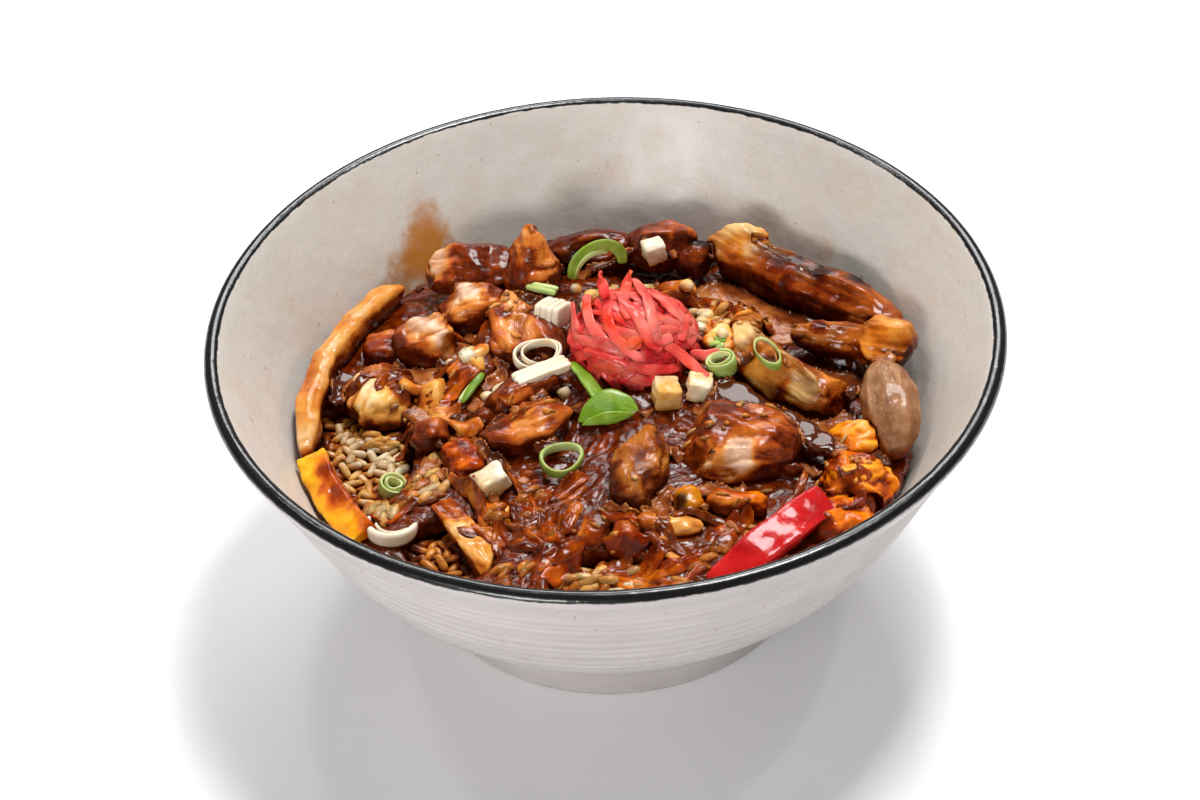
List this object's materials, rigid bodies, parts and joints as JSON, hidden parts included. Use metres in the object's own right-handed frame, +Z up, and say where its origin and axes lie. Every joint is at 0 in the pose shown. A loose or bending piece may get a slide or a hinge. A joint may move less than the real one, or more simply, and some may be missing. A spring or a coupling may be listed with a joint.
{
  "type": "bowl of oyakodon",
  "caption": "Ribbed stoneware bowl of rice topped with sauced egg, chicken, mushroom, onion, peppers, leek, spring onion and shredded red pickled ginger.",
  "frame": {"origin": "middle of the foot ring's lower face, on the surface that the bowl stands on", "axes": "+Z up, -Y towards the side that the picture is taken from, +X to that view's right"},
  "size_m": [0.2052, 0.2052, 0.0833],
  "materials": {
    "bowl_glaze": "pale warm grey glaze, near-black glazed rim",
    "rice": "moist cooked rice coloured by the sauce",
    "egg": "soft yellow-orange egg, glossy with sauce",
    "sauce_bed": "soft egg and onion under dark glossy sauce",
    "chicken": "pink-tan cooked meat with glossy red-brown sauce",
    "mushroom": "brown cap and flesh, glossy where sauced",
    "onion": "translucent simmered onion, tan and golden",
    "leek": "white leek and raw onion, smooth and moist",
    "spring_onion": "light green, moist",
    "red_pepper": "bright red skin, glossy",
    "yellow_pepper": "bright yellow skin, glossy",
    "corn": "amber kernel, glossy",
    "ginger": "coral red, translucent and moist"
  },
  "bodies": {
    "root": {"bowl": "bowl_glaze", "chicken_back_left": "chicken", "chicken_back_middle": "chicken", "chicken_cube": "chicken", "chicken_front_left": "chicken", "chicken_front_right": "chicken", "chicken_low_left": "chicken", "chicken_lower": "chicken", "chicken_mid_left": "chicken", "chicken_slice": "chicken", "chicken_tall": "chicken", "chicken_upper": "chicken", "corn": "corn", "egg_band": "egg", "egg_bed": "sauce_bed", "egg_front_left": "egg", "egg_right": "egg", "egg_right_front": "egg", "egg_right_top": "egg", "egg_roll": "egg", "egg_sauced": "egg", "ginger": "ginger", "leek_block": "leek", "leek_chunk": "leek", "leek_ring": "leek", "leek_strip": "leek", "mushroom_back": "mushroom", "mushroom_cap": "mushroom", "mushroom_chunk": "mushroom", "mushroom_curl": "mushroom", "mushroom_long": "mushroom", "mushroom_side": "mushroom", "onion_arc": "onion", "onion_behind_slice": "onion", "onion_cube_back": "leek", "onion_cube_front": "leek", "onion_cube_right": "leek", "onion_hook": "leek", "onion_inner_left": "onion", "onion_left": "onion", "onion_oval_left": "onion", "onion_oval_right": "onion", "onion_right": "onion", "onion_right_back": "onion", "onion_strip_front": "onion", "onion_strip_left": "onion", "onion_upper_left": "onion", "pepper_red": "red_pepper", "pepper_yellow": "yellow_pepper", "rice": "rice", "scallion_leaf": "spring_onion", "scallion_loop": "spring_onion", "scallion_ring_front": "spring_onion", "scallion_ring_left": "spring_onion", "scallion_ring_mushroom": "spring_onion", "scallion_ring_right": "spring_onion", "scallion_slice": "spring_onion", "scallion_sliver": "spring_onion", "scallion_strip": "spring_onion"}
  },
  "joints": []
}
